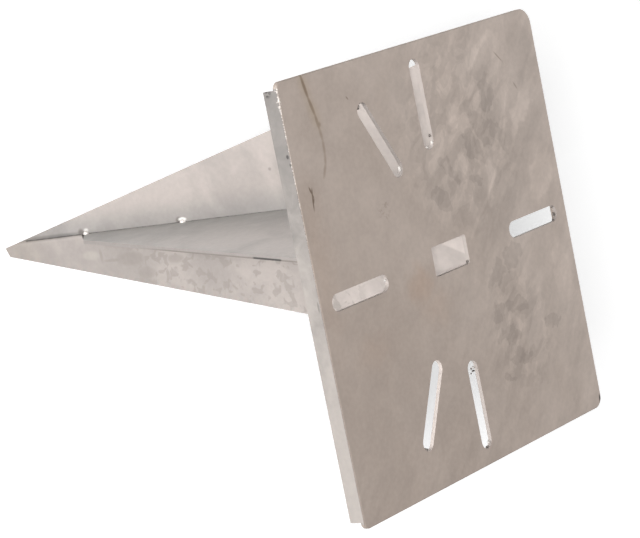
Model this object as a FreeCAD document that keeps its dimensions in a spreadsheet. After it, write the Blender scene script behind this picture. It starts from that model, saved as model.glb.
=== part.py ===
"""Ground spike: a folded, slotted steel plate on two crossed tapering sheets.

The origin is the centre of the plate's top face. +Z is the plate's outward
normal, which points up once the spike stands in the soil. All sizes are in mm.
"""
import FreeCAD, Part
import math
import os
import Sketcher

SIZES = {
    "plate_width": 201.5,
    "plate_length": 200.0,
    "plate_sheet": 2.0,
    "flange_depth": 7.7,
    "left_flange_length": 193.0,
    "right_flange_length": 184.0,
    "edge_break": 0.4,
    "corner_radius": 3.5,
    "lower_right_radius": 5.5,
    "upper_right_radius": 8.0,
    "slot_width": 8.0,
    "slot_length": 42.4,
    "slot_edge_gap": 7.6,
    "slanted_slot_angle": 120.0,
    "cable_length": 28.0,
    "cable_width": 14.0,
    "cable_corner": 1.2,
    "blade_offset_x": 18.0,
    "blade_offset_y": 20.4,
    "blade_sheet": 3.0,
    "blade_width": 139.2,
    "blade_depth": 298.0,
    "point_offset_y": 18.2,
    "point_width": 4.8,
    "point_spur": 2.2,
    "fin_sheet": 2.0,
    "fin_height": 7.4,
    "fin_lean": 2.9,
    "fin_slope": 0.9,
    "fin_point_gap": 55.0,
    "fin_nose_length": 13.5,
    "fin_shoulder_width": 16.2,
    "fin_edge_margin": 2.75,
    "fin_skirt": 6.0,
    "fin_clearance": 0.25,
    "slit_width": 0.6,
    "slit_point_gap": 14.0,
    "weld_leg": 4.0,
    "weld_length": 24.0,
    "weld_inset": 14.0,
    "tack_radius": 1.7,
    "first_tack_gap": 70.2,
    "second_tack_gap": 3.0,
}

SQUARE_SLOTS = 4
FULL_TURN = 360
QUARTER_TURN = 90
QUARTER_ARC = math.pi / 2
MATCH = 0.001

X_AXIS = FreeCAD.Vector(1, 0, 0)
Y_AXIS = FreeCAD.Vector(0, 1, 0)
Z_AXIS = FreeCAD.Vector(0, 0, 1)
ABOVE_FIN_LEFT = FreeCAD.Rotation(Y_AXIS, -X_AXIS, Z_AXIS, "ZXY")
BLADE_LEFT = FreeCAD.Rotation(-X_AXIS, -Z_AXIS, -Y_AXIS, "ZXY")
BLADE_RIGHT = FreeCAD.Rotation(-Z_AXIS, X_AXIS, -Y_AXIS, "ZXY")
FIN_UPPER = FreeCAD.Rotation(-Z_AXIS, Y_AXIS, X_AXIS, "ZXY")

SLOT_FAR = "(min(sizes.plate_width; sizes.plate_length) / 2 - sizes.slot_edge_gap)"
SLOT_NEAR = f"({SLOT_FAR} - sizes.slot_length)"
FIN_DEPTH = "(sizes.blade_depth - sizes.fin_point_gap)"
FIN_TOP = "sizes.blade_offset_y + sizes.fin_height"
FIN_FALL = "tan(sizes.fin_slope * 1 deg)"
FIN_LEAN = "tan(sizes.fin_lean * 1 deg)"
FIN_REACH = "sizes.plate_width / 2 - sizes.plate_sheet - sizes.fin_edge_margin"

doc = FreeCAD.newDocument("ground_spike")
sheet = doc.addObject("Spreadsheet::Sheet", "sizes")
for row, (alias, value) in enumerate(SIZES.items(), start=1):
    sheet.set(f"A{row}", alias)
    sheet.set(f"B{row}", str(value))
    sheet.setAlias(f"B{row}", alias)
doc.recompute()


def amount(text):
    """Return the value of a size expression, in mm or degrees."""
    value = sheet.evalExpression(text)
    return float(getattr(value, "Value", value))


def new_body(name):
    """Add an empty body whose label names the piece."""
    body = doc.addObject("PartDesign::Body", name)
    body.Label = name
    return body


def origin_item(body, role):
    """Return one of a body's own origin planes or axes."""
    return next(item for item in body.Origin.OriginFeatures if item.Role == role)


def new_sketch(body, name, role):
    """Add a sketch on one of the body's origin planes."""
    sketch = body.newObject("Sketcher::SketchObject", name)
    sketch.AttachmentSupport = (origin_item(body, role), [""])
    sketch.MapMode = "FlatFace"
    return sketch


def drive(sketch, constraint, text):
    """Add a dimension and bind it to a size expression."""
    index = sketch.addConstraint(constraint)
    sketch.setExpression(f"Constraints[{index}]", text)


def place_point(sketch, line, end, across, up):
    """Fix one end of a line at two size expressions from the sketch origin."""
    drive(sketch, Sketcher.Constraint("DistanceX", -1, 1, line, end, amount(across)), across)
    drive(sketch, Sketcher.Constraint("DistanceY", -1, 1, line, end, amount(up)), up)


def add_polygon(sketch, corners):
    """Draw a closed polygon whose corners are pairs of size expressions."""
    spots = [FreeCAD.Vector(amount(across), amount(up), 0) for across, up in corners]
    lines = []
    for start, stop in zip(spots, spots[1:] + spots[:1]):
        lines.append(sketch.addGeometry(Part.LineSegment(start, stop), False))
    for line, following in zip(lines, lines[1:] + lines[:1]):
        sketch.addConstraint(Sketcher.Constraint("Coincident", line, 2, following, 1))
    for line, (across, up) in zip(lines, corners):
        place_point(sketch, line, 1, across, up)


def add_rounded_rectangle(sketch, width, height, radii):
    """Draw a rectangle centred on the sketch origin, with one radius a corner."""
    half_x = amount(width) / 2
    half_y = amount(height) / 2
    signs = [(1, 1), (-1, 1), (-1, -1), (1, -1)]
    arcs = []
    for number, ((side_x, side_y), radius) in enumerate(zip(signs, radii)):
        bend = amount(radius)
        middle = FreeCAD.Vector(side_x * (half_x - bend), side_y * (half_y - bend), 0)
        start = QUARTER_ARC * number
        arc = Part.ArcOfCircle(Part.Circle(middle, Z_AXIS, bend), start, start + QUARTER_ARC)
        arcs.append(sketch.addGeometry(arc, False))
    sides = []
    for arc, following in zip(arcs, arcs[1:] + arcs[:1]):
        start = sketch.getPoint(arc, 2)
        stop = sketch.getPoint(following, 1)
        side = sketch.addGeometry(Part.LineSegment(start, stop), False)
        sides.append(side)
        sketch.addConstraint(Sketcher.Constraint("Tangent", arc, 2, side, 1))
        sketch.addConstraint(Sketcher.Constraint("Tangent", side, 2, following, 1))
    for side, direction in zip(sides, ["Horizontal", "Vertical", "Horizontal", "Vertical"]):
        sketch.addConstraint(Sketcher.Constraint(direction, side))
    for arc, radius in zip(arcs, radii):
        drive(sketch, Sketcher.Constraint("Radius", arc, amount(radius)), radius)
    drive(sketch, Sketcher.Constraint("DistanceY", -1, 1, sides[0], 1, half_y), f"({height}) / 2")
    drive(sketch, Sketcher.Constraint("DistanceY", sides[2], 1, -1, 1, half_y), f"({height}) / 2")
    drive(sketch, Sketcher.Constraint("DistanceX", sides[1], 1, -1, 1, half_x), f"({width}) / 2")
    drive(sketch, Sketcher.Constraint("DistanceX", -1, 1, sides[3], 1, half_x), f"({width}) / 2")


def add_radial_slot(sketch, near, far, width):
    """Draw a round-ended slot along the sketch's own X axis."""
    radius = amount(width) / 2
    first = FreeCAD.Vector(amount(near) + radius, 0, 0)
    last = FreeCAD.Vector(amount(far) - radius, 0, 0)
    rise = FreeCAD.Vector(0, radius, 0)
    top = sketch.addGeometry(Part.LineSegment(last + rise, first + rise), False)
    low = sketch.addGeometry(Part.LineSegment(first - rise, last - rise), False)
    inner_circle = Part.Circle(first, Z_AXIS, radius)
    outer_circle = Part.Circle(last, Z_AXIS, radius)
    inner_arc = Part.ArcOfCircle(inner_circle, QUARTER_ARC, QUARTER_ARC + math.pi)
    outer_arc = Part.ArcOfCircle(outer_circle, -QUARTER_ARC, QUARTER_ARC)
    inner = sketch.addGeometry(inner_arc, False)
    outer = sketch.addGeometry(outer_arc, False)
    sketch.addConstraint(Sketcher.Constraint("Tangent", top, 2, inner, 1))
    sketch.addConstraint(Sketcher.Constraint("Tangent", inner, 2, low, 1))
    sketch.addConstraint(Sketcher.Constraint("Tangent", low, 2, outer, 1))
    sketch.addConstraint(Sketcher.Constraint("Tangent", outer, 2, top, 1))
    sketch.addConstraint(Sketcher.Constraint("PointOnObject", inner, 3, -1))
    sketch.addConstraint(Sketcher.Constraint("PointOnObject", outer, 3, -1))
    drive(sketch, Sketcher.Constraint("Radius", inner, radius), f"({width}) / 2")
    near_text = f"{near} + ({width}) / 2"
    far_text = f"{far} - ({width}) / 2"
    drive(sketch, Sketcher.Constraint("DistanceX", -1, 1, inner, 3, first.x), near_text)
    drive(sketch, Sketcher.Constraint("DistanceX", -1, 1, outer, 3, last.x), far_text)


def pad(body, name, sketch, length, centred=False, reverse=False):
    """Extrude a sketch by a size expression."""
    feature = body.newObject("PartDesign::Pad", name)
    feature.Profile = sketch
    feature.SideType = "Symmetric" if centred else "One side"
    feature.Reversed = reverse
    feature.setExpression("Length", length)
    doc.recompute()
    return feature


def cut_through(body, name, sketch):
    """Cut a sketch through the whole body, both ways."""
    before = body.Shape.Volume
    feature = body.newObject("PartDesign::Pocket", name)
    feature.Profile = sketch
    feature.Type = "ThroughAll"
    feature.SideType = "Symmetric"
    doc.recompute()
    if body.Shape.Volume >= before:
        raise RuntimeError(f"{name} cut nothing")
    return feature


def break_top_edges(body, base):
    """Take the sharpness off the outer edges of the plate's top face."""
    found = []
    for number, edge in enumerate(base.Shape.Edges, start=1):
        if all(abs(vertex.Z) < MATCH for vertex in edge.Vertexes):
            found.append(f"Edge{number}")
    feature = body.newObject("PartDesign::Chamfer", "broken_edges")
    feature.Base = (base, found)
    feature.setExpression("Size", "sizes.edge_break")
    body.Tip = feature
    doc.recompute()


def add_flange(body, name, side, length):
    """Fold one side of the plate down; side is -1 for the left and 1 for the right."""
    profile = new_sketch(body, f"{name}_profile", "XZ_Plane")
    outer = f"{side} * sizes.plate_width / 2"
    inner = f"{side} * (sizes.plate_width / 2 - sizes.plate_sheet)"
    top = "-sizes.plate_sheet"
    low = "-sizes.flange_depth"
    add_polygon(profile, [(outer, top), (inner, top), (inner, low), (outer, low)])
    pad(body, name, profile, length, centred=True)


def make_top_plate():
    """Cut the plate with its round corners, fold its two sides down and open its slots."""
    body = new_body("top_plate")
    outline = new_sketch(body, "plate_outline", "XY_Plane")
    corners = ["sizes.upper_right_radius"] + ["sizes.corner_radius"] * 2
    corners.append("sizes.lower_right_radius")
    add_rounded_rectangle(outline, "sizes.plate_width", "sizes.plate_length", corners)
    flat = pad(body, "flat", outline, "sizes.plate_sheet", reverse=True)
    break_top_edges(body, flat)
    add_flange(body, "left_flange", -1, "sizes.left_flange_length")
    add_flange(body, "right_flange", 1, "sizes.right_flange_length")

    cable = new_sketch(body, "cable_outline", "XY_Plane")
    cable_radii = ["sizes.cable_corner"] * 4
    add_rounded_rectangle(cable, "sizes.cable_length", "sizes.cable_width", cable_radii)
    cut_through(body, "cable_hole", cable)

    straight = new_sketch(body, "slot_outline", "XY_Plane")
    add_radial_slot(straight, SLOT_NEAR, SLOT_FAR, "sizes.slot_width")
    slot = cut_through(body, "slot", straight)
    ring = body.newObject("PartDesign::PolarPattern", "four_slots")
    ring.Originals = [slot]
    ring.Axis = (origin_item(body, "Z_Axis"), [""])
    ring.Angle = FULL_TURN
    ring.Occurrences = SQUARE_SLOTS
    body.Tip = ring
    doc.recompute()

    slanted = new_sketch(body, "slanted_slot_outline", "XY_Plane")
    turn = FreeCAD.Rotation(Z_AXIS, amount("sizes.slanted_slot_angle"))
    slanted.AttachmentOffset = FreeCAD.Placement(FreeCAD.Vector(), turn)
    slanted.setExpression("AttachmentOffset.Rotation.Angle", "sizes.slanted_slot_angle")
    add_radial_slot(slanted, SLOT_NEAR, SLOT_FAR, "sizes.slot_width")
    slanted_slot = cut_through(body, "slanted_slot", slanted)
    pair = body.newObject("PartDesign::Mirrored", "slanted_pair")
    pair.Originals = [slanted_slot]
    pair.MirrorPlane = (origin_item(body, "XZ_Plane"), [""])
    body.Tip = pair
    doc.recompute()
    return body


def make_blade():
    """Cut the upright tapering sheet, with its blunt point and the fin's slot."""
    body = new_body("blade")
    root = "-sizes.plate_sheet"
    outline = new_sketch(body, "blade_outline", "YZ_Plane")
    upper = "sizes.blade_offset_y + sizes.blade_width / 2"
    lower = "sizes.blade_offset_y - sizes.blade_width / 2"
    add_polygon(
        outline,
        [
            (lower, root),
            ("sizes.point_offset_y - sizes.point_width / 2", "-sizes.blade_depth"),
            (
                "sizes.point_offset_y + sizes.point_width / 2",
                "-(sizes.blade_depth + sizes.point_spur)",
            ),
            (upper, root),
        ],
    )
    pad(body, "sheet", outline, "sizes.blade_sheet")

    slot = new_sketch(body, "fin_slot_outline", "YZ_Plane")
    top = f"{FIN_TOP} + sizes.fin_clearance + sizes.blade_sheet * {FIN_LEAN}"
    floor = f"{FIN_TOP} - sizes.fin_sheet - sizes.fin_clearance"
    slit_floor = f"{top} - sizes.slit_width"
    nose = f"({FIN_DEPTH} + sizes.fin_clearance)"
    slit = "(sizes.blade_depth - sizes.slit_point_gap)"
    nose_drop = f"{nose} * {FIN_FALL}"
    slit_drop = f"{slit} * {FIN_FALL}"
    add_polygon(
        slot,
        [
            (floor, "0"),
            (f"{floor} - {nose_drop}", f"-{nose}"),
            (f"{slit_floor} - {nose_drop}", f"-{nose}"),
            (f"{slit_floor} - {slit_drop}", f"-{slit}"),
            (f"{top} - {slit_drop}", f"-{slit}"),
            (top, "0"),
        ],
    )
    cut_through(body, "fin_slot", slot)
    body.setExpression("Placement.Base.x", "sizes.blade_offset_x")
    return body


def make_cross_fin():
    """Cut the cross sheet that passes through the blade and reaches both flanges."""
    body = new_body("cross_fin")
    outline = new_sketch(body, "fin_outline", "XZ_Plane")
    middle = "sizes.blade_sheet / 2"
    left = f"-({FIN_REACH} + sizes.blade_offset_x)"
    right = f"{FIN_REACH} - sizes.blade_offset_x"
    root = "-(sizes.plate_sheet + sizes.fin_sheet * sin(sizes.fin_slope * 1 deg))"
    skirt = "-(sizes.plate_sheet + sizes.fin_skirt)"
    shoulder = f"-({FIN_DEPTH} - sizes.fin_nose_length)"
    add_polygon(
        outline,
        [
            (left, root),
            (left, skirt),
            (f"{middle} - sizes.fin_shoulder_width", shoulder),
            (middle, f"-{FIN_DEPTH}"),
            (f"{middle} + sizes.fin_shoulder_width", shoulder),
            (right, skirt),
            (right, root),
        ],
    )
    pad(body, "sheet", outline, "sizes.fin_sheet")
    lean = FreeCAD.Rotation(Z_AXIS, amount("sizes.fin_lean"))
    slope = FreeCAD.Rotation(X_AXIS, -amount("sizes.fin_slope"))
    seat = FreeCAD.Vector(amount("sizes.blade_offset_x"), amount(FIN_TOP), 0)
    body.Placement = FreeCAD.Placement(seat, lean.multiply(slope))
    body.setExpression("Placement.Base.x", "sizes.blade_offset_x")
    body.setExpression("Placement.Base.y", FIN_TOP)
    return body


def quarter_bead(name, turn, spot, length):
    """Add a round-ended quarter-round bead that fills a corner from one spot on."""
    run = doc.addObject("Part::Cylinder", f"{name}_run")
    run.Angle = QUARTER_TURN
    run.setExpression("Radius", "sizes.weld_leg")
    run.setExpression("Height", length)
    start = doc.addObject("Part::Sphere", f"{name}_start")
    finish = doc.addObject("Part::Sphere", f"{name}_finish")
    for end in (start, finish):
        end.Angle3 = QUARTER_TURN
        end.setExpression("Radius", "sizes.weld_leg")
    finish.setExpression("Placement.Base.z", length)
    bead = doc.addObject("Part::MultiFuse", name)
    bead.Shapes = [run, start, finish]
    bead.Placement = FreeCAD.Placement(FreeCAD.Vector(*map(amount, spot)), turn)
    for axis, text in zip("xyz", spot):
        bead.setExpression(f"Placement.Base.{axis}", text)
    return bead


def tack(name, gap):
    """Add a small round tack above the fin, at a gap from the fin's nose."""
    depth = f"({FIN_DEPTH} - {gap})"
    bead = doc.addObject("Part::Sphere", name)
    bead.Angle3 = QUARTER_TURN
    bead.setExpression("Radius", "sizes.tack_radius")
    spot = (
        "sizes.blade_offset_x",
        f"{FIN_TOP} - {depth} * {FIN_FALL} + sizes.tack_radius * {FIN_FALL}",
        f"-{depth}",
    )
    bead.Placement = FreeCAD.Placement(FreeCAD.Vector(*map(amount, spot)), ABOVE_FIN_LEFT)
    for axis, text in zip("xyz", spot):
        bead.setExpression(f"Placement.Base.{axis}", text)
    return bead


def make_weld_beads():
    """Join the sheets: beads under the plate and two tacks along the crossing."""
    under = "-sizes.plate_sheet"
    near = "sizes.blade_offset_x"
    far = "sizes.blade_offset_x + sizes.blade_sheet"
    upper = "sizes.blade_offset_y + sizes.blade_width / 2 - sizes.weld_inset"
    lower = "sizes.blade_offset_y - sizes.blade_width / 2 + sizes.weld_inset + sizes.weld_length"
    length = "sizes.weld_length"
    beads = []
    for place, height in (("upper", upper), ("lower", lower)):
        left_spot = (near, height, under)
        right_spot = (far, height, under)
        beads.append(quarter_bead(f"{place}_left_bead", BLADE_LEFT, left_spot, length))
        beads.append(quarter_bead(f"{place}_right_bead", BLADE_RIGHT, right_spot, length))
    lean = FreeCAD.Rotation(Z_AXIS, amount("sizes.fin_lean"))
    reach = "sizes.plate_width / 2 - sizes.plate_sheet - sizes.weld_inset"
    starts = {
        "fin_left_bead": f"-({reach})",
        "fin_right_bead": f"{reach} - sizes.weld_length",
    }
    for name, across in starts.items():
        height = f"{FIN_TOP} + ({across} - sizes.blade_offset_x) * {FIN_LEAN}"
        spot = (across, height, under)
        beads.append(quarter_bead(name, lean.multiply(FIN_UPPER), spot, length))
    beads.append(tack("first_tack", "sizes.first_tack_gap"))
    beads.append(tack("second_tack", "sizes.second_tack_gap"))
    group = doc.addObject("Part::Compound", "weld_beads")
    group.Label = "weld_beads"
    group.Links = beads
    return group


pieces = [make_top_plate(), make_blade(), make_cross_fin(), make_weld_beads()]
doc.recompute()

for item in doc.Objects:
    if "Invalid" in item.State or "Error" in item.State:
        raise RuntimeError(f"{item.Name} failed: {item.State}")
os.makedirs("parts", exist_ok=True)
for piece in pieces:
    if piece.Shape.isNull() or not piece.Shape.isValid():
        raise RuntimeError(f"{piece.Label} has no valid shape")
    piece.Shape.exportStep(f"parts/{piece.Label}.step")
    print(f"{piece.Label}: {piece.Shape.Volume:.1f} mm3, {piece.Shape.BoundBox}")
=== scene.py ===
import math
import random

import bmesh
import bpy
from mathutils import Euler, Matrix, Vector


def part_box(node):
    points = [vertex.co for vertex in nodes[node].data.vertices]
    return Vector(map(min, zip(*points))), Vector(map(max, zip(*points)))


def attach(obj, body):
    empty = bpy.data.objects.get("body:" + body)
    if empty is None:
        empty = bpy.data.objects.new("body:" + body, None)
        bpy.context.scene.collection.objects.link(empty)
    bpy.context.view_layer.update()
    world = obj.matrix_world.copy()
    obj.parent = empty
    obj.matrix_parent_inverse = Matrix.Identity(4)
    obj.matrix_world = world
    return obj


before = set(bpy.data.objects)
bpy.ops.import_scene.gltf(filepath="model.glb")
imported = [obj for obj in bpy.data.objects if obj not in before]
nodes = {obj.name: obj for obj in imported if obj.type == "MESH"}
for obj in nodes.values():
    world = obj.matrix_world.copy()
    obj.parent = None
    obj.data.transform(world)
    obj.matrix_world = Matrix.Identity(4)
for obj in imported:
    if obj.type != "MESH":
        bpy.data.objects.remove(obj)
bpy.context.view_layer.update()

# Camera, solved from the plate's outline and openings. Metres, degrees and millimetres of lens.
CAMERA_PLACE = (-1.00782, 0.18885, 0.73646)
CAMERA_TURN = (5.9638, -51.3165, -18.3007)
CAMERA_LENS = 154.07
CAMERA_SENSOR = 36
CAMERA_NEAR = 0.01
CAMERA_FAR = 50

# Faces that the finishes refer to, in metres. The crossing's lean and fall are slopes.
PLATE_LEFT = round(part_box("top_plate")[0][0], 5)
BLADE_FACE = round(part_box("blade")[0][0], 5)
FIN_TOP = 0.0278
FIN_SHEET = 0.002
FIN_LEAN = 0.0507
FIN_FALL = 0.0157

# Films of zinc in the gap above the fin, dark as painted shade: the gap's middle, the films' section and
# their ends.
FILM_HEIGHT = 0.0279
FILM_HALF_WIDTH = 0.0004
FILM_WOBBLE = 0.0002
FILM_STEPS_A_METRE = 1000
FILM_SEED = 11
SLIT_INSET = 0.0008
SEAM_INSET = 0.0001
SLIT_END = -0.2840
FIN_NOSE = -0.2425
FIN_ROOT = -0.0030

# How deep a patch or a mark reaches into the surface, so that its shape stays flat.
PATCH_DEPTH = 0.02
MARK_DEPTH = 0.004

# How strongly the finishes' bumps show.
BUMP_STRENGTH = 0.35

# Dull and pale zinc patches on the plate: centre, half lengths and turn.
DULL_PATCHES = [
    (0.0520, 0.0660, 0.0090, 0.0056, 1.20),
    (0.0440, 0.0500, 0.0125, 0.0052, -0.85),
    (0.0540, 0.0480, 0.0090, 0.0044, -0.80),
    (0.0350, 0.0430, 0.0115, 0.0050, -0.75),
    (0.0120, 0.0380, 0.0080, 0.0034, -0.70),
    (0.0020, 0.0260, 0.0090, 0.0034, -0.60),
    (0.0320, 0.0290, 0.0050, 0.0024, -0.50),
    (0.0490, -0.0120, 0.0070, 0.0052, 0.20),
    (0.0340, -0.0170, 0.0085, 0.0040, 0.10),
    (0.0450, -0.0340, 0.0110, 0.0038, -0.15),
    (0.0285, -0.0350, 0.0050, 0.0040, 0.20),
    (0.0360, -0.0475, 0.0100, 0.0044, -0.10),
    (0.0400, -0.0585, 0.0100, 0.0020, -0.20),
    (0.0290, -0.0650, 0.0034, 0.0014, -0.20),
    (0.0720, -0.0490, 0.0052, 0.0032, -0.20),
]
PALE_PATCHES = [
    (0.0590, 0.0860, 0.0140, 0.0060, 0.40),
    (0.0230, 0.0820, 0.0130, 0.0060, 1.00),
    (0.0240, 0.0610, 0.0080, 0.0040, 0.70),
    (0.0390, 0.0350, 0.0060, 0.0030, 0.60),
    (0.0240, 0.0400, 0.0060, 0.0030, -0.70),
    (0.0800, 0.0560, 0.0150, 0.0050, 0.80),
    (0.0850, 0.0200, 0.0130, 0.0080, 0.70),
    (0.0880, -0.0300, 0.0080, 0.0160, -0.10),
]
CORNER_PATCH = [(0.087, 0.079, 0.011, 0.016, 0.2)]
SMEAR = [(0.064, 0.026, 0.050, 0.009, 0.70)]
UPPER_MOTTLE = [(0.026, 0.055, 0.046, 0.048, -0.7)]
LOWER_MOTTLE = [(0.045, -0.045, 0.026, 0.030, 0.0)]

# Rust tint on the plate: centre, half lengths and share.
RUST_SPOTS = [
    (-0.0268, -0.0065, 0.009, 0.007, 1.0),
    (-0.0190, -0.0200, 0.009, 0.007, 0.5),
    (-0.0700, -0.0270, 0.012, 0.007, 0.4),
    (-0.0950, 0.0180, 0.007, 0.030, 0.4),
]

# Thin lines on the plate's face.
VEIN = [
    (0.0200, 0.0050), (0.0290, 0.0130), (0.0390, 0.0200),
    (0.0490, 0.0310), (0.0590, 0.0420), (0.0650, 0.0560),
]
DRIP_TOP = [(-0.0828, 0.0995), (-0.0806, 0.0895), (-0.0782, 0.0815), (-0.0771, 0.0750)]
DRIP_LOW = [(-0.0771, 0.0755), (-0.0764, 0.0700), (-0.0767, 0.0640), (-0.0777, 0.0595), (-0.0802, 0.0550)]
DRIP_HALO = [(-0.0832, 0.1000), (-0.0806, 0.0890), (-0.0775, 0.0770)]
DRIP_BEAD = (-0.0769, 0.0770, 0)

# Cracks: points, half width and share.
CRACKS = [
    ([(-0.0922, 0.0520), (-0.0911, 0.0492), (-0.0905, 0.0470), (-0.0914, 0.0448)], 0.0005, 1.0),
    ([(-0.0905, 0.0512), (-0.0912, 0.0480), (-0.0917, 0.0425)], 0.0004, 1.0),
    ([(-0.0541, 0.0850), (-0.0530, 0.0837)], 0.0004, 0.6),
    ([(0.0655, 0.0835), (0.0700, 0.0790)], 0.0004, 0.5),
    ([(0.0765, 0.0670), (0.0785, 0.0640)], 0.0005, 0.4),
]

# Small marks: centre, half lengths, softness and share.
FLANGE_MARKS = [
    ((PLATE_LEFT, 0.0676, -0.0014), (0.001, 0.0009, 0.0007), 0.4, 1.0),
    ((PLATE_LEFT, 0.0640, -0.0008), (0.001, 0.0007, 0.0004), 0.4, 0.7),
    ((PLATE_LEFT, 0.0010, -0.0012), (0.001, 0.0022, 0.0005), 0.4, 0.5),
    ((0.0995, -0.0965, -0.0004), (0.0008, 0.0022, 0.002), 0.4, 1.0),
]
BLADE_MARKS = [
    ((BLADE_FACE, 0.0090, -0.2130), (0.003, 0.0036, 0.0090), 0.3, 1.0),
    ((BLADE_FACE, 0.0010, -0.2040), (0.003, 0.0032, 0.0056), 0.35, 1.0),
    ((BLADE_FACE, 0.0118, -0.2330), (0.003, 0.0032, 0.0010), 0.5, 1.0),
    ((BLADE_FACE, 0.0090, -0.2250), (0.003, 0.0008, 0.0070), 0.5, 1.0),
    ((BLADE_FACE, 0.0070, -0.1830), (0.003, 0.0022, 0.0050), 0.4, 1.0),
]
BLADE_PALE_MARK = [((BLADE_FACE, 0.0125, -0.2400), (0.003, 0.0024, 0.0052), 0.4, 1.0)]
# Dark notches on the blade, painted as shade in small recesses.
BLADE_NOTCHES = [
    ((BLADE_FACE, 0.0250, -0.2435), (0.002, 0.0019, 0.0019), 0.5, 1.0),
    ((BLADE_FACE, 0.0262, -0.1752), (0.002, 0.0017, 0.0019), 0.5, 1.0),
    ((BLADE_FACE, 0.0470, -0.1105), (0.002, 0.0008, 0.0009), 0.5, 0.6),
]
BLADE_GLINTS = [
    ((BLADE_FACE, 0.0267, -0.1730), (0.002, 0.0009, 0.0024), 0.5, 1.0),
    ((BLADE_FACE, 0.0261, -0.2396), (0.002, 0.0009, 0.0014), 0.6, 0.5),
]

# Zinc lumps at the ends of the openings: centre, radius and stretch.
DARK_LUMPS = [
    ((-0.0458, 0.0790, -0.0011), 0.0010, (1.0, 1.3, 0.8)),
    ((-0.0442, 0.0806, -0.0012), 0.0007, (1, 1, 0.8)),
    ((0.0030, 0.0560, -0.0010), 0.0006, (1, 1.2, 0.8)),
    ((0.0016, -0.0554, -0.0012), 0.0006, (1.9, 0.7, 0.8)),
    ((0.0004, -0.0541, -0.0013), 0.0005, (1, 1, 0.8)),
    ((0.0027, -0.0540, -0.0012), 0.0004, (1, 1.3, 0.8)),
    ((-0.0004, -0.0562, -0.0012), 0.0004, (1, 1, 0.8)),
    ((-0.0469, -0.0790, -0.0010), 0.0008, (1.3, 0.8, 0.8)),
    ((-0.0452, -0.0797, -0.0010), 0.0008, (1.1, 0.8, 0.8)),
    ((0.0912, -0.0012, -0.0012), 0.0008, (0.8, 1.6, 0.8)),
    ((0.0008, -0.0918, -0.0012), 0.0006, (1.8, 0.7, 0.8)),
    ((0.0912, 0.0027, -0.0012), 0.0006, (1.5, 0.7, 0.8)),
    ((0.0900, -0.0034, -0.0012), 0.0006, (1.6, 0.7, 0.8)),
    ((0.0136, -0.0062, -0.0012), 0.0008, (0.7, 1.2, 0.8)),
    ((-0.0418, 0.0802, -0.0010), 0.0006, (1.2, 0.8, 0.8)),
]
BRIGHT_LUMPS = [
    ((-0.0248, 0.0462, -0.0008), 0.0008, (0.7, 1.6, 0.8)),
    ((0.0036, 0.0525, -0.0009), 0.0008, (0.7, 1.4, 0.8)),
    ((-0.0008, 0.0512, -0.0010), 0.0007, (1.2, 0.8, 0.8)),
    ((-0.0514, 0.0008, -0.0008), 0.0006, (0.8, 1.6, 0.8)),
    ((0.0024, -0.0900, -0.0010), 0.0007, (1.0, 1.2, 0.8)),
    ((0.0018, -0.0538, -0.0010), 0.0007, (1.2, 0.8, 0.8)),
]
LUMP_WOBBLE = 0.13
CRUMB_SEED = 3
BURR_SEED = 5

# Colours as linear red, green, blue and alpha.
WHITE = (1, 1, 1, 1)
PLATE_COLOURS = ((0.398, 0.330, 0.286, 1), (0.530, 0.453, 0.404, 1))
WALL_COLOURS = ((0.48, 0.43, 0.40, 1), (0.52, 0.465, 0.435, 1))
FLANGE_COLOURS = ((0.228, 0.212, 0.200, 1), (0.385, 0.350, 0.325, 1))
BLADE_COLOURS = ((0.414, 0.373, 0.350, 1), (0.488, 0.438, 0.410, 1))
FIN_COLOURS = ((0.488, 0.452, 0.430, 1), (0.552, 0.508, 0.482, 1))
WELD_COLOURS = ((0.50, 0.46, 0.43, 1), (0.86, 0.82, 0.78, 1))
DROSS_COLOURS = ((0.07, 0.06, 0.055, 1), (0.34, 0.30, 0.27, 1))
FILM_SHADE_COLOURS = ((0.135, 0.126, 0.118, 1), (0.225, 0.210, 0.198, 1))
RUST = (0.44, 0.27, 0.17, 1)
HALO_BROWN = (0.40, 0.315, 0.225, 1)
DRIP_BROWN = (0.215, 0.155, 0.105, 1)
CRACK_BROWN = (0.115, 0.075, 0.045, 1)
SCRATCH_GREY = (0.28, 0.22, 0.18, 1)
BRIGHT_ZINC_AND_HIGHLIGHT = (0.72, 0.67, 0.62, 1)
GLINT_WHITE = (0.93, 0.91, 0.88, 1)
DROSS_BLACK = (0.05, 0.045, 0.042, 1)
BLADE_SHADE_TINT = (0.745, 0.780, 0.795, 1)
FIN_SHADE_TINT = (0.800, 0.835, 0.845, 1)
SLIT_SHADE_GREY = (0.12, 0.11, 0.10, 1)
TIP_BROWN = (0.36, 0.315, 0.270, 1)
WORN_GREY = (0.298, 0.268, 0.243, 1)
PALE_ZINC = (0.54, 0.50, 0.45, 1)
NOTCH_SHADE_GREY = (0.13, 0.11, 0.10, 1)
FIN_EDGE_GREY = (0.345, 0.312, 0.292, 1)
EDGE_SHADE_BROWN = (0.14, 0.11, 0.09, 1)
SPLIT_BLACK = (0.03, 0.028, 0.026, 1)

# Studio: a floor just below the point, pale near the object and white further away.
FLOOR_HEIGHT = -0.303
FLOOR_SIZE = 12
FLOOR_COLOUR = (0.92, 0.92, 0.92, 1)
FLOOR_ROUGHNESS = 0.9
HALF_PALE = (0.68, 0.68, 0.68, 1)
WHITE_FROM = 0.7
WHITE_BY = 1.6
WORLD_STRENGTH = 0.30
LIGHT_AIM = (0, 0, -0.08)
LIGHTS = {
    "front_light": {"direction": (-0.80, 0.13, 0.60), "distance": 2.6, "size": 0.35, "power": 48},
    "side_light": {"direction": (-0.97, 0.10, 0.10), "distance": 2.4, "size": 1.0, "power": 22},
    "top_light": {"direction": (0.45, -0.10, 0.90), "distance": 2.6, "size": 1.2, "power": 14},
}


# Node helpers

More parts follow.
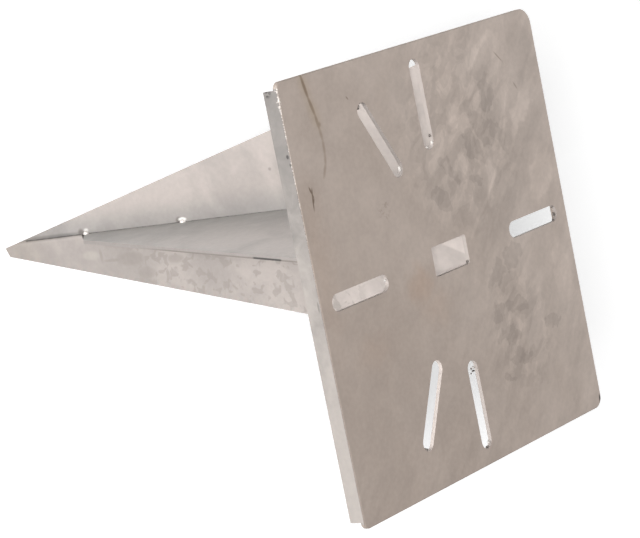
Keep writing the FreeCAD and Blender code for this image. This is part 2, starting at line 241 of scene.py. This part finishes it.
class Finish:
    """A node material and short calls that add nodes to it."""

    def __init__(self, name):
        self.material = bpy.data.materials.new(name)
        self.material.use_nodes = True
        self.tree = self.material.node_tree
        self.shader = self.tree.nodes["Principled BSDF"]
        self.place = self.node("TexCoord").outputs["Object"]
        split = self.node("SeparateXYZ", {0: self.place})
        self.x, self.y, self.z = split.outputs

    def node(self, kind, inputs=None, **settings):
        """Add a shader node, set its properties, and set or link its inputs."""
        made = self.tree.nodes.new("ShaderNode" + kind)
        for key, value in settings.items():
            setattr(made, key, value)
        for key, value in (inputs or {}).items():
            self.feed(made.inputs[key], value)
        return made

    def feed(self, socket, value):
        """Link a socket to an output, or set it to a constant."""
        if isinstance(value, bpy.types.NodeSocket):
            self.tree.links.new(value, socket)
        else:
            socket.default_value = value

    def math(self, operation, *values):
        """Return the output of a Math node."""
        made = self.node("Math", operation=operation)
        for socket, value in zip(made.inputs, values):
            self.feed(socket, value)
        return made.outputs[0]

    def add(self, first, second):
        return self.math("ADD", first, second)

    def times(self, first, second):
        return self.math("MULTIPLY", first, second)

    def absolute(self, value):
        return self.math("ABSOLUTE", value)

    def most(self, *masks):
        """Return the largest of several masks."""
        result = masks[0]
        for mask in masks[1:]:
            result = self.math("MAXIMUM", result, mask)
        return result

    def ramp(self, value, low, high, to_low=0.0, to_high=1.0):
        """Map a value smoothly from one range to another."""
        made = self.node(
            "MapRange",
            {0: value, 1: low, 2: high, 3: to_low, 4: to_high},
            interpolation_type="SMOOTHSTEP",
        )
        return made.outputs[0]

    def noise(self, scale, detail=4.0, rough=0.5, warp=0.0, place=None):
        """Return the value of a noise texture; the scale is in features a metre."""
        made = self.node(
            "TexNoise",
            {
                "Vector": place or self.place,
                "Scale": scale,
                "Detail": detail,
                "Roughness": rough,
                "Distortion": warp,
            },
        )
        return made.outputs[0]

    def mapped(self, centre=(0, 0, 0), turn=(0, 0, 0), size=(1, 1, 1), place=None):
        """Return the place in a shifted, turned and scaled frame."""
        made = self.node(
            "Mapping",
            {"Vector": place or self.place, "Location": centre, "Rotation": turn, "Scale": size},
            vector_type="TEXTURE",
        )
        return made.outputs[0]

    def warped(self, scale, amount):
        """Return the place pushed about by noise, for ragged edges."""
        made = self.node("TexNoise", {"Vector": self.place, "Scale": scale, "Detail": 3.0})
        centred = self.node("VectorMath", {0: made.outputs[1], 1: (0.5, 0.5, 0.5)}, operation="SUBTRACT")
        moved = self.node("VectorMath", {0: centred.outputs[0], "Scale": amount}, operation="SCALE")
        return self.node("VectorMath", {0: self.place, 1: moved.outputs[0]}, operation="ADD").outputs[0]

    def facing_right(self):
        """Return the X part of the surface's own normal."""
        normal = self.node("TexCoord").outputs["Normal"]
        return self.node("SeparateXYZ", {0: normal}).outputs[0]

    def distance(self, place):
        """Return the length of a vector."""
        return self.node("VectorMath", {0: place}, operation="LENGTH").outputs["Value"]

    def spot(self, centre, radii, turn=0, soft=0.4, place=None):
        """Return a soft ellipsoid mask round a centre, turned about Z."""
        near = self.mapped(centre, (0, 0, turn), radii, place)
        return self.ramp(self.distance(near), 1 - soft, 1 + soft, 1.0, 0.0)

    def marks(self, rows):
        """Return the mask of small marks: centre, half lengths, softness and share."""
        parts = (
            self.times(self.spot(centre, radii, soft=soft), share) for centre, radii, soft, share in rows
        )
        return self.most(*parts)

    def patches(self, rows, soft, place=None):
        """Return the mask of patches on the plate's face: centre, half lengths and turn."""
        parts = (
            self.spot((x, y, 0), (long, wide, PATCH_DEPTH), turn, soft, place)
            for x, y, long, wide, turn in rows
        )
        return self.most(*parts)

    def stroke(self, points, width, soft=0.5):
        """Return the mask of a thin line on the plate's face, as spots that overlap end to end."""
        overlap = 0.6
        parts = []
        for (x0, y0), (x1, y1) in zip(points, points[1:]):
            reach = math.hypot(x1 - x0, y1 - y0) * overlap
            turn = math.atan2(y1 - y0, x1 - x0)
            middle = ((x0 + x1) / 2, (y0 + y1) / 2, 0)
            parts.append(self.spot(middle, (reach, width, MARK_DEPTH), turn, soft))
        return self.most(*parts)

    def colour(self, factor, first, second, blend="MIX"):
        """Return two colours mixed by a factor."""
        made = self.node("Mix", data_type="RGBA", blend_type=blend)
        for index, value in ((0, factor), (6, first), (7, second)):
            self.feed(made.inputs[index], value)
        return made.outputs[2]

    def shade(self, colour, factor):
        """Return a colour multiplied by a grey factor."""
        grey = self.node("CombineColor", {0: factor, 1: factor, 2: factor}).outputs[0]
        return self.colour(1.0, colour, grey, "MULTIPLY")

    def tone(self, colour, mask, factor):
        """Return a colour made darker or lighter by a factor where a mask is 1."""
        return self.shade(colour, self.ramp(mask, 0.0, 1.0, 1.0, factor))

    def tint(self, colour, mask, tint):
        """Return a colour multiplied by a tint where a mask is 1."""
        return self.colour(mask, colour, self.colour(1.0, colour, tint, "MULTIPLY"))

    def surface(self, colour, rough, metallic, height, depth):
        """Feed the main shader."""
        self.feed(self.shader.inputs["Base Color"], colour)
        self.feed(self.shader.inputs["Roughness"], rough)
        self.shader.inputs["Metallic"].default_value = metallic
        bump = self.node("Bump", {"Strength": BUMP_STRENGTH, "Distance": depth, "Height": height})
        self.feed(self.shader.inputs["Normal"], bump.outputs[0])
        return self.material


# Finish of the plate

def plate_ground(f, clouds):
    """Return warm grey zinc with painted light that makes it lighter towards the upper right, and
    slanting streaks.
    """
    # Painted light: the zinc is made lighter towards the upper right.
    painted_light_sweep = f.add(f.times(f.x, 2.2), f.times(f.y, 1.7))
    light = f.ramp(f.add(painted_light_sweep, f.times(clouds, 0.55)), -0.10, 0.80)
    base = f.colour(light, *PLATE_COLOURS)

    streak_place = f.mapped(turn=(0, 0, 0.80), size=(1.0, 0.28, 1.0))
    streaks = f.noise(30.0, detail=3.5, rough=0.55, warp=0.7, place=streak_place)
    streak_share = f.most(f.ramp(f.x, -0.055, 0.030), f.ramp(f.y, -0.055, -0.090))
    streaks = f.times(streak_share, f.ramp(streaks, 0.30, 0.70, -0.055, 0.060))
    base = f.shade(base, f.add(streaks, 1.0))
    cloudlets = f.noise(85.0, detail=3.0, rough=0.5, warp=0.4)
    return f.shade(base, f.ramp(cloudlets, 0.36, 0.64, 0.975, 1.025))


def plate_mottle(f, base):
    """Return the zinc with two mottled regions right of the middle."""
    region = f.most(f.patches(UPPER_MOTTLE, 0.45), f.patches(LOWER_MOTTLE, 0.5))
    place = f.mapped(turn=(0, 0, 0.75), size=(1.0, 0.6, 1.0))
    mottle = f.noise(70.0, detail=3.0, rough=0.5, warp=0.7, place=place)
    base = f.tone(base, f.times(region, f.ramp(mottle, 0.50, 0.56)), 0.905)
    return f.tone(base, f.times(region, f.ramp(mottle, 0.45, 0.40)), 1.09)


def plate_patches(f, base, dull, ragged):
    """Return the zinc with its dull, worn and pale patches and one pale vein."""
    base = f.tone(base, dull, 0.875)
    base = f.tone(base, f.patches(CORNER_PATCH, 0.5, ragged), 0.90)
    base = f.tone(base, f.patches(SMEAR, 0.6, ragged), 0.91)
    base = f.tone(base, f.patches(PALE_PATCHES, 0.3, ragged), 1.10)
    return f.tone(base, f.stroke(VEIN, 0.0010, 0.8), 1.09)


def plate_rust(f, base, ragged):
    """Return the zinc with a faint rust tint."""
    parts = (
        f.times(f.spot((x, y, 0), (long, wide, PATCH_DEPTH), soft=0.9, place=ragged), share)
        for x, y, long, wide, share in RUST_SPOTS
    )
    return f.colour(f.times(f.most(*parts), 0.25), base, RUST)


def drip_mask(f):
    """Return the mask of the drip line near the upper left corner, with its bead."""
    upper = f.times(f.stroke(DRIP_TOP, 0.0009), f.ramp(f.y, 0.074, 0.096, 0.55, 0.85))
    lower = f.times(f.stroke(DRIP_LOW, 0.0008, 0.8), 0.45)
    bead = f.times(f.spot(DRIP_BEAD, (0.0013, 0.0011, MARK_DEPTH), soft=0.7), 0.6)
    return f.most(upper, lower, bead)


def plate_stains(f, base, drip):
    """Return the zinc with the drip line, its halo, the cracks and a patch of scratches."""
    base = f.colour(f.times(f.stroke(DRIP_HALO, 0.0030, 0.9), 0.42), base, HALO_BROWN)
    base = f.colour(drip, base, DRIP_BROWN)
    cracks = f.most(*(f.times(f.stroke(points, width), share) for points, width, share in CRACKS))
    base = f.colour(f.times(cracks, 0.8), base, CRACK_BROWN)
    scratched = f.spot((-0.0430, 0.0320, 0), (0.0042, 0.0050, MARK_DEPTH), soft=0.6)
    scratches = f.times(scratched, f.ramp(f.noise(520.0, detail=2.0, warp=1.0), 0.54, 0.62))
    return f.colour(f.times(scratches, 0.5), base, SCRATCH_GREY)


def plate_walls(f, base, clouds):
    """Return the finish with brighter zinc on the walls of the slots and the cable hole, with painted
    light on the walls at lower left and painted shade on those at upper left.
    """
    inside = f.times(f.ramp(f.absolute(f.x), 0.0988, 0.0984), f.ramp(f.absolute(f.y), 0.0988, 0.0984))
    below_face = f.times(f.ramp(f.z, -0.00003, -0.00012), f.ramp(f.z, -0.0022, -0.0019))
    # Painted light on the lower left walls, painted shade on the upper left ones.
    left_half = f.ramp(f.x, -0.012, -0.020)
    light = f.add(f.times(left_half, f.ramp(f.y, -0.030, 0.030, 0.32, -0.20)), 1.0)
    wall = f.shade(f.colour(clouds, *WALL_COLOURS), light)
    return f.colour(f.times(inside, below_face), base, wall)


def plate_flange(f, base):
    """Return the finish with greyer, cloudy zinc on the left fold."""
    clouds = f.noise(75.0, detail=5.0, rough=0.6, warp=0.5)
    light = f.ramp(f.add(f.times(f.y, -3.4), f.times(clouds, 0.9)), 0.02, 0.70)
    on_flange = f.ramp(f.x, PLATE_LEFT + 0.0002, PLATE_LEFT + 0.00005)
    return f.colour(on_flange, base, f.colour(light, *FLANGE_COLOURS))


def near_bend(f):
    """Return the mask of the left fold's upper edge."""
    return f.times(f.ramp(f.x, PLATE_LEFT + 0.0005, PLATE_LEFT + 0.0002), f.ramp(f.z, -0.0005, -0.0003))


def bead_and_highlight_mask(f, bend):
    """Return the mask of the bright zinc bead line and painted highlight along the left fold, heavier at
    its top.
    """
    beads_and_highlight = f.ramp(f.noise(1500.0, detail=2.0), 0.48, 0.64)
    line = f.times(bend, f.times(beads_and_highlight, f.ramp(f.y, -0.01, 0.085, 0.12, 1.0)))
    heavy = f.spot((PLATE_LEFT, 0.0935, 0), (0.0013, 0.0060, 0.0014))
    return f.most(line, f.times(heavy, f.ramp(f.noise(900.0, detail=2.0), 0.52, 0.60)))


def plate_finish():
    """Old matt zinc: warm grey, cloudy, with dull patches, a drip line and a rust tint."""
    f = Finish("plate_zinc")
    grain = f.noise(420.0, detail=3.0)
    clouds = f.noise(26.0, detail=5.0, warp=0.6)
    ragged = f.warped(135.0, 0.015)
    dull = f.patches(DULL_PATCHES, 0.14, ragged)
    drip = drip_mask(f)
    bend = near_bend(f)
    beads_and_highlight = bead_and_highlight_mask(f, bend)

    base = plate_ground(f, clouds)
    base = plate_mottle(f, base)
    base = plate_patches(f, base, dull, ragged)
    base = plate_rust(f, base, ragged)
    base = plate_stains(f, base, drip)
    base = plate_walls(f, base, clouds)
    base = plate_flange(f, base)
    base = f.tone(base, bend, 0.66)
    # Bright zinc bead line, partly a painted highlight, along the left fold.
    base = f.colour(f.times(beads_and_highlight, 0.8), base, BRIGHT_ZINC_AND_HIGHLIGHT)

    corner = f.spot((PLATE_LEFT, 0.0962, -0.0058), (0.002, 0.0022, 0.0022))
    corner = f.times(corner, f.ramp(f.noise(700.0), 0.42, 0.55))
    black = f.most(corner, f.marks(FLANGE_MARKS))
    base = f.colour(f.times(black, 0.88), base, DROSS_BLACK)
    base = f.shade(base, f.ramp(grain, 0.3, 0.72, 0.97, 1.03))

    rough = f.add(f.ramp(clouds, 0.3, 0.7, 0.62, 0.55), f.times(beads_and_highlight, -0.25))
    height = f.add(f.times(clouds, 0.5), f.add(f.times(grain, 0.14), f.times(dull, -0.06)))
    height = f.add(height, f.times(drip, -0.2))
    return f.surface(base, rough, metallic=0.30, height=height, depth=0.0005)


# Finishes of the spike

def blade_crossing(f, base, above):
    """Return the blade's zinc with the fin's shade above it, painted shade along the slit and on its
    walls, and the brown tip.
    """
    shaded = f.times(f.ramp(above, -0.0004, 0.0001), f.ramp(above, 0.0, 0.0160, 1.0, 0.0))
    base = f.tint(base, shaded, BLADE_SHADE_TINT)
    # Painted shade along the slit near the point, and on the slit's inner walls.
    painted_slit_shade = f.ramp(f.absolute(f.add(above, -0.0004)), 0.0, 0.0024, 1.0, 0.0)
    base = f.tone(base, f.times(painted_slit_shade, f.ramp(f.z, -0.225, -0.262)), 0.60)
    in_slit = f.times(f.ramp(f.absolute(above), 0.0030, 0.0020), f.ramp(f.z, -0.236, -0.238))
    off_face = f.ramp(f.facing_right(), -0.6, -0.3)
    base = f.colour(f.times(off_face, in_slit), base, SLIT_SHADE_GREY)
    tip = f.ramp(f.z, -0.262, -0.290)
    return f.colour(f.times(tip, 0.35), base, TIP_BROWN)


def blade_wear(f, below):
    """Return the mask of the worn blotches below the crossing."""
    blotch = f.noise(180.0, detail=2.8, rough=0.5, warp=0.6)
    patches = f.times(f.ramp(blotch, 0.52, 0.60), f.ramp(f.z, -0.225, -0.195))
    patches = f.times(patches, f.ramp(f.z, -0.060, -0.080))
    return f.times(below, f.most(patches, f.marks(BLADE_MARKS)))


def blade_root_painted_light(f):
    """Return the grey factor of painted light on the blade near the plate, weaker right under the plate,
    with a painted pool of light at the cable hole.
    """
    root = f.ramp(f.z, -0.101, -0.086, 1.0, 1.20)
    slanted = f.add(f.add(f.y, f.times(f.z, 0.456)), 0.0052)
    corner = f.times(f.ramp(f.z, -0.030, -0.020), f.ramp(f.y, 0.020, 0.012))
    hole_light_pool = f.times(f.ramp(slanted, -0.0010, 0.0010), corner)
    upper = f.times(f.ramp(f.z, -0.035, -0.020, 1.0, 0.88), f.ramp(hole_light_pool, 0.0, 1.0, 1.0, 1.28))
    return f.times(root, upper)


def blade_finish():
    """Zinc on the blade: pale, cloudy, with painted shade along the crossing and below the fin, painted
    light near the plate, and blotches below the crossing.
    """
    f = Finish("blade_zinc")
    grain = f.noise(420.0, detail=3.0)
    clouds = f.noise(38.0, detail=5.0, warp=0.5)
    base = f.colour(f.ramp(clouds, 0.34, 0.66), *BLADE_COLOURS)
    crossing = f.add(f.y, f.times(f.z, -FIN_FALL))
    above = f.math("SUBTRACT", crossing, FIN_TOP)
    base = blade_crossing(f, base, above)

    below = f.ramp(above, -0.0002, -0.0030)
    # Painted shade on the blade below the fin, except near the plate.
    base = f.tone(base, f.times(below, f.ramp(f.z, -0.086, -0.101)), 0.89)
    worn = blade_wear(f, below)
    base = f.colour(f.times(worn, 0.55), base, WORN_GREY)
    base = f.colour(f.times(f.times(below, f.marks(BLADE_PALE_MARK)), 0.3), base, PALE_ZINC)
    # Painted shade in the small notches.
    base = f.colour(f.times(f.marks(BLADE_NOTCHES), 0.7), base, NOTCH_SHADE_GREY)
    base = f.colour(f.marks(BLADE_GLINTS), base, GLINT_WHITE)
    # Painted light near the plate and at the cable hole.
    base = f.shade(base, f.times(blade_root_painted_light(f), f.ramp(grain, 0.3, 0.72, 0.97, 1.03)))

    height = f.add(f.times(clouds, 0.5), f.add(f.times(grain, 0.14), f.times(worn, -0.10)))
    rough = f.ramp(clouds, 0.3, 0.7, 0.60, 0.54)
    return f.surface(base, rough, metallic=0.30, height=height, depth=0.0005)


def fin_finish():
    """Zinc on the cross fin: smoother and greyer, with painted shade beside the blade and along the lower
    rim of its free edge, and a dark split.
    """
    f = Finish("fin_zinc")
    grain = f.noise(420.0, detail=3.0)
    clouds = f.noise(34.0, detail=4.0, warp=0.5)
    base = f.colour(f.ramp(clouds, 0.34, 0.66), *FIN_COLOURS)
    base = f.tint(base, f.ramp(f.x, BLADE_FACE - 0.060, BLADE_FACE - 0.001), FIN_SHADE_TINT)

    slope = f.add(f.times(f.x, FIN_LEAN), f.times(f.z, FIN_FALL))
    lowest = f.add(FIN_TOP - FIN_SHEET - BLADE_FACE * FIN_LEAN, slope)
    rise = f.math("SUBTRACT", f.y, lowest)
    edge = f.ramp(f.facing_right(), -0.3, -0.6)
    base = f.colour(edge, base, FIN_EDGE_GREY)
    # Painted shade along the lower rim of the fin's free edge.
    edge_shade = f.times(edge, f.times(f.ramp(rise, 0.0009, 0.0005), f.ramp(f.z, -0.175, -0.130)))
    base = f.colour(f.times(edge_shade, 0.5), base, EDGE_SHADE_BROWN)
    split_reach = f.times(f.ramp(f.z, -0.054, -0.052), f.ramp(f.z, -0.027, -0.029))
    split = f.times(f.ramp(rise, 0.0011, 0.0007), split_reach)
    base = f.colour(f.times(split, 0.9), base, SPLIT_BLACK)

    base = f.shade(base, f.ramp(grain, 0.3, 0.72, 0.965, 1.035))
    height = f.add(f.times(clouds, 0.5), f.times(grain, 0.16))
    rough = f.ramp(clouds, 0.3, 0.7, 0.58, 0.52)
    return f.surface(base, rough, metallic=0.35, height=height, depth=0.0006)


def weld_finish():
    """Bright rippled weld metal under the zinc."""
    f = Finish("weld_zinc")
    ripple = f.noise(520.0, detail=3.0, warp=0.8)
    base = f.colour(f.ramp(ripple, 0.3, 0.6), *WELD_COLOURS)
    rough = f.ramp(ripple, 0.3, 0.7, 0.45, 0.30)
    return f.surface(base, rough, metallic=0.35, height=ripple, depth=0.0010)


def crumb_finish():
    """Dark rough zinc dross."""
    f = Finish("zinc_dross")
    grit = f.noise(900.0, detail=3.0)
    base = f.colour(f.ramp(grit, 0.35, 0.65), *DROSS_COLOURS)
    rough = f.ramp(grit, 0.3, 0.7, 0.75, 0.60)
    return f.surface(base, rough, metallic=0.2, height=grit, depth=0.0008)


def film_finish():
    """Dull zinc drawn into the gap above the fin, coloured dark as painted shade for the gap."""
    f = Finish("seam_zinc")
    grit = f.noise(300.0, detail=3.0)
    base = f.colour(f.ramp(grit, 0.35, 0.65), *FILM_SHADE_COLOURS)
    rough = f.ramp(grit, 0.3, 0.7, 0.70, 0.60)
    return f.surface(base, rough, metallic=0.2, height=grit, depth=0.0004)


FINISHES = {
    "top_plate": plate_finish(),
    "blade": blade_finish(),
    "cross_fin": fin_finish(),
    "weld_beads": weld_finish(),
}
for name, finish in FINISHES.items():
    for slot in nodes[name].material_slots:
        slot.material = finish


# Zinc lumps and films, which ride on the body

def new_piece(name, mesh, finish):
    """Turn a bmesh into an object of the scene with one finish."""
    data = bpy.data.meshes.new(name)
    mesh.to_mesh(data)
    mesh.free()
    data.materials.append(finish)
    piece = bpy.data.objects.new(name, data)
    bpy.context.scene.collection.objects.link(piece)
    return piece


def add_lumps(name, spots, finish, seed):
    """Add small irregular lumps; each spot is a centre, a radius and a stretch."""
    chance = random.Random(seed)
    mesh = bmesh.new()
    for centre, radius, stretch in spots:
        made = bmesh.ops.create_icosphere(mesh, subdivisions=3, radius=1.0)
        for vertex in made["verts"]:
            wobble = 1 + chance.uniform(-LUMP_WOBBLE, LUMP_WOBBLE)
            offset = Vector(a * b for a, b in zip(vertex.co, stretch)) * (radius * wobble)
            vertex.co = Vector(centre) + offset
    piece = new_piece(name, mesh, finish)
    for face in piece.data.polygons:
        face.use_smooth = True
    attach(piece, "root")


def add_film(name, low, high, inset, finish):
    """Add a ragged film of zinc that closes the gap above the fin between two heights."""
    chance = random.Random(FILM_SEED)
    mesh = bmesh.new()
    steps = round((high - low) * FILM_STEPS_A_METRE)
    rows = []
    for index in range(steps + 1):
        z = low + (high - low) * index / steps
        middle = FILM_HEIGHT + FIN_FALL * z
        thick = 2 * FILM_WOBBLE + chance.uniform(0, FILM_WOBBLE)
        face = BLADE_FACE + inset + chance.uniform(0, FILM_WOBBLE)
        corners = ((face, -1), (face, 1), (face + thick, 1), (face + thick, -1))
        rows.append([mesh.verts.new((x, middle + side * FILM_HALF_WIDTH, z)) for x, side in corners])
    for lower, upper in zip(rows, rows[1:]):
        for index in range(4):
            after = (index + 1) % 4
            mesh.faces.new((lower[index], lower[after], upper[after], upper[index]))
    mesh.faces.new(rows[0][::-1])
    mesh.faces.new(rows[-1])
    bmesh.ops.recalc_face_normals(mesh, faces=mesh.faces)
    piece = new_piece(name, mesh, finish)
    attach(piece, "root")


add_lumps("zinc_crumbs", DARK_LUMPS, crumb_finish(), CRUMB_SEED)
add_lumps("zinc_burrs", BRIGHT_LUMPS, FINISHES["weld_beads"], BURR_SEED)
# Films in the gap above the fin, coloured dark as painted shade.
film_zinc = film_finish()
add_film("slit_film", SLIT_END, FIN_NOSE, SLIT_INSET, film_zinc)
add_film("seam_film", FIN_NOSE, FIN_ROOT, SEAM_INSET, film_zinc)


# Studio

def floor_finish():
    """Pale matt floor that keeps the object's own shadow and runs out into white.

    To camera, glossy and transmission rays it is two equal diffuse shaders added together,
    which shows the lit floor white and the cast shadow grey.
    """
    f = Finish("studio_floor")
    f.shader.inputs["Base Color"].default_value = FLOOR_COLOUR
    f.shader.inputs["Roughness"].default_value = FLOOR_ROUGHNESS
    half = f.node("BsdfDiffuse", {"Color": HALF_PALE}).outputs[0]
    pale = f.node("AddShader", {0: half, 1: half}).outputs[0]
    white = f.node("Emission", {"Color": WHITE, "Strength": 1.0}).outputs[0]
    far = f.ramp(f.distance(f.place), WHITE_FROM, WHITE_BY)
    shown = f.node("MixShader", {0: far, 1: pale, 2: white}).outputs[0]
    path = f.node("LightPath")
    rays = ("Is Camera Ray", "Is Glossy Ray", "Is Transmission Ray")
    seen = f.most(*(path.outputs[ray] for ray in rays))
    mix = f.node("MixShader", {0: seen, 1: f.shader.outputs[0], 2: shown})
    f.feed(f.tree.nodes["Material Output"].inputs["Surface"], mix.outputs[0])
    return f.material


def add_light(name, direction, distance, size, power):
    """Add a square soft light in a direction from the object, aimed at it."""
    data = bpy.data.lights.new(name, "AREA")
    data.size = size
    data.energy = power
    lamp = bpy.data.objects.new(name, data)
    bpy.context.scene.collection.objects.link(lamp)
    aim = Vector(LIGHT_AIM)
    lamp.location = aim + Vector(direction).normalized() * distance
    lamp.rotation_euler = (aim - lamp.location).to_track_quat("-Z", "Y").to_euler()


def add_camera():
    """Add the camera that takes the photograph's view."""
    data = bpy.data.cameras.new("photo_camera")
    data.sensor_width = CAMERA_SENSOR
    data.lens = CAMERA_LENS
    data.clip_start = CAMERA_NEAR
    data.clip_end = CAMERA_FAR
    camera = bpy.data.objects.new("photo_camera", data)
    bpy.context.scene.collection.objects.link(camera)
    turn = Euler([math.radians(angle) for angle in CAMERA_TURN])
    camera.matrix_world = Matrix.LocRotScale(Vector(CAMERA_PLACE), turn, None)
    bpy.context.scene.camera = camera


bpy.ops.mesh.primitive_plane_add(size=FLOOR_SIZE, location=(0, 0, FLOOR_HEIGHT))
floor = bpy.context.object
floor.name = "studio_floor"
floor.data.materials.append(floor_finish())

world = bpy.data.worlds.new("studio")
bpy.context.scene.world = world
world.use_nodes = True
background = world.node_tree.nodes["Background"]
background.inputs["Color"].default_value = WHITE
background.inputs["Strength"].default_value = WORLD_STRENGTH

for name, settings in LIGHTS.items():
    add_light(name, **settings)
add_camera()
bpy.context.scene.view_settings.view_transform = "Standard"
